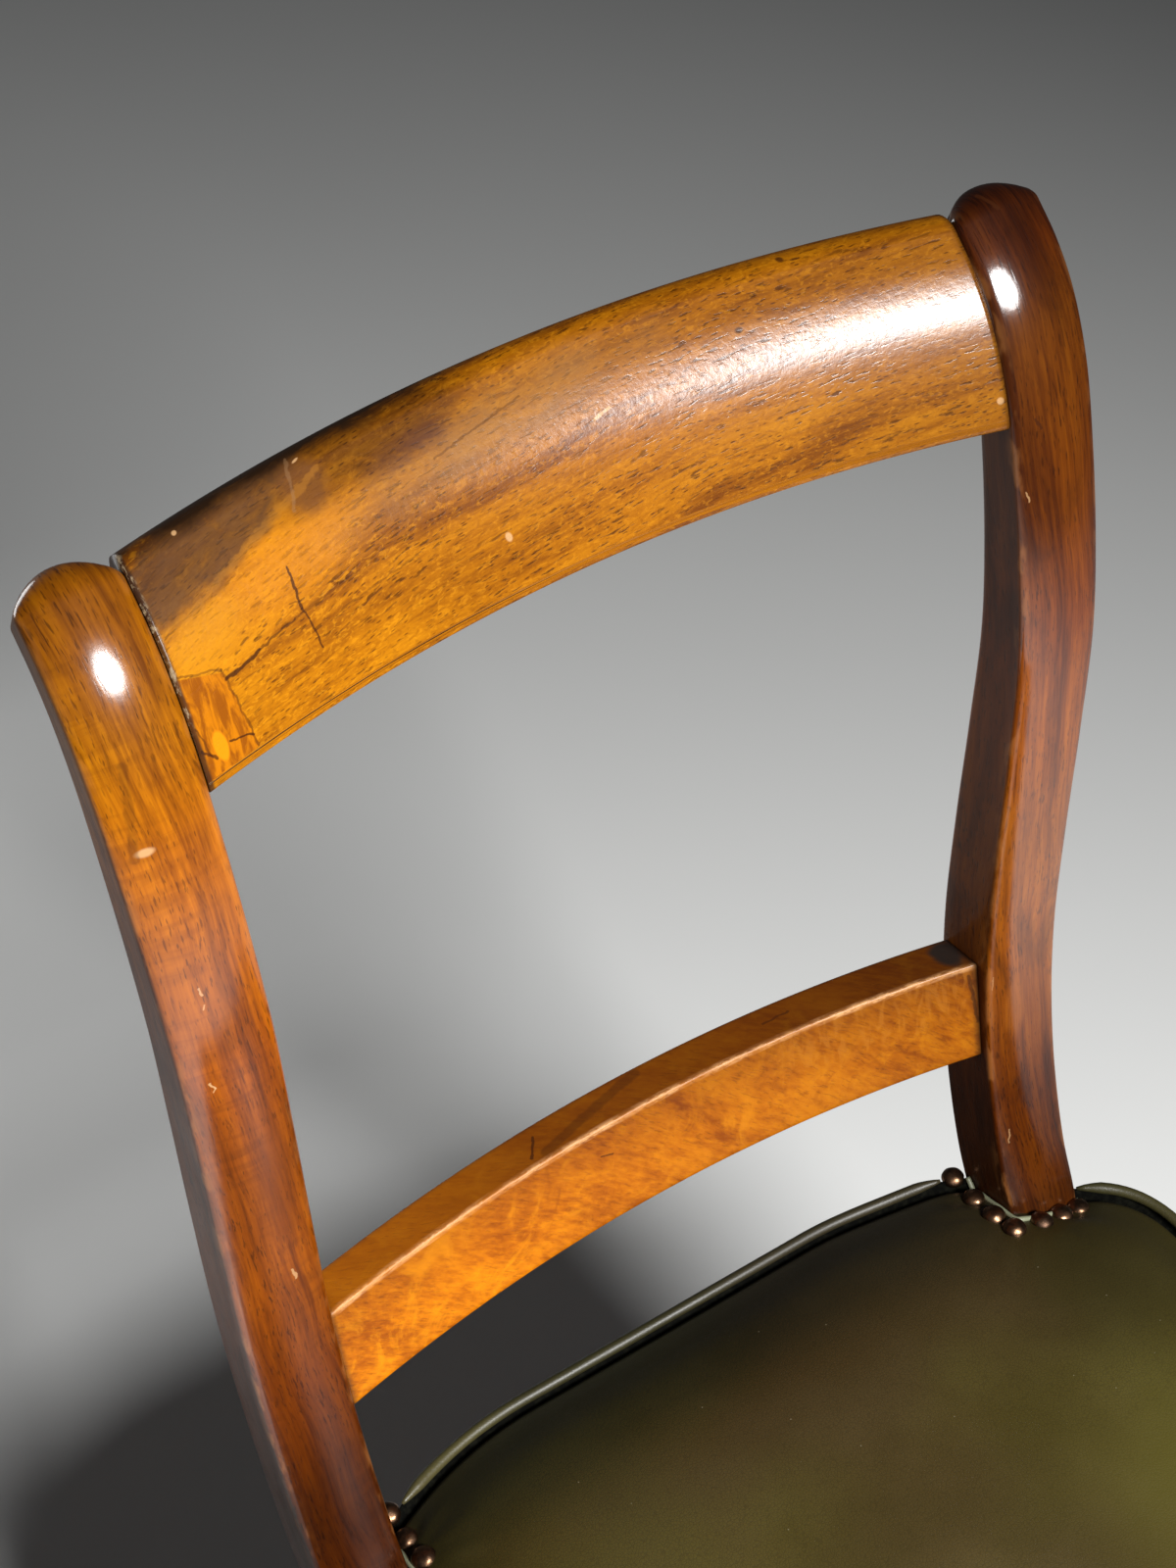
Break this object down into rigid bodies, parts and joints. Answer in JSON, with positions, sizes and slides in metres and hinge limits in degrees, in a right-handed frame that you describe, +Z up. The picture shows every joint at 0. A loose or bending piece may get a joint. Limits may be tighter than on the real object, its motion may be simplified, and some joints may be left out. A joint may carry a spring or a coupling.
{
  "type": "klismos side chair",
  "caption": "Side chair with scroll-back posts that sweep down into sabre legs, a bowed crest rail and mid rail, and a leather seat stuffed over its rails.",
  "frame": {"origin": "on the floor, under the middle of the chair's overall depth and width", "axes": "+Z up; the chair faces -Y, so +Y runs to the back; +X is on the right when the chair is seen from its front"},
  "size_m": [0.4612, 0.563, 0.8928],
  "materials": {
    "post_wood": "polished, aged red-brown",
    "crest_wood": "polished, aged golden brown",
    "mid_rail_wood": "polished, aged honey orange",
    "frame_wood": "sawn, unfinished",
    "leather": "satin, aged dark olive green",
    "stuffing": "matted hair",
    "webbing": "woven jute",
    "hessian": "woven jute cloth",
    "dust_cloth": "black cotton",
    "brass": "antiqued dark",
    "steel": "plain"
  },
  "bodies": {
    "root": {"rear_post_right": "post_wood", "rear_post_left": "post_wood", "crest_rail": "crest_wood", "mid_rail": "mid_rail_wood", "rear_seat_rail": "frame_wood", "front_seat_rail": "frame_wood", "side_seat_rail_right": "frame_wood", "side_seat_rail_left": "frame_wood", "front_leg_right": "post_wood", "front_leg_left": "post_wood", "corner_block_front_right": "frame_wood", "corner_block_front_left": "frame_wood", "block_screw_front_right": "steel", "block_screw_front_left": "steel", "corner_block_rear_right": "frame_wood", "corner_block_rear_left": "frame_wood", "block_screw_rear_right": "steel", "block_screw_rear_left": "steel", "web_strap_long_1": "webbing", "web_strap_long_2": "webbing", "web_strap_long_3": "webbing", "web_strap_cross_1": "webbing", "web_strap_cross_2": "webbing", "web_strap_cross_3": "webbing", "hessian": "hessian", "seat_pad": "stuffing", "leather_cover": "leather", "rear_welt": "leather", "seat_welt": "leather", "dust_cover": "dust_cloth", "dome_nail_1_right": "brass", "dome_nail_1_left": "brass", "dome_nail_2_right": "brass", "dome_nail_2_left": "brass", "dome_nail_3_right": "brass", "dome_nail_3_left": "brass", "dome_nail_4_right": "brass", "dome_nail_4_left": "brass", "dome_nail_5_right": "brass", "dome_nail_5_left": "brass", "dome_nail_6_right": "brass", "dome_nail_6_left": "brass", "dome_nail_7_right": "brass", "dome_nail_7_left": "brass"}
  },
  "joints": []
}
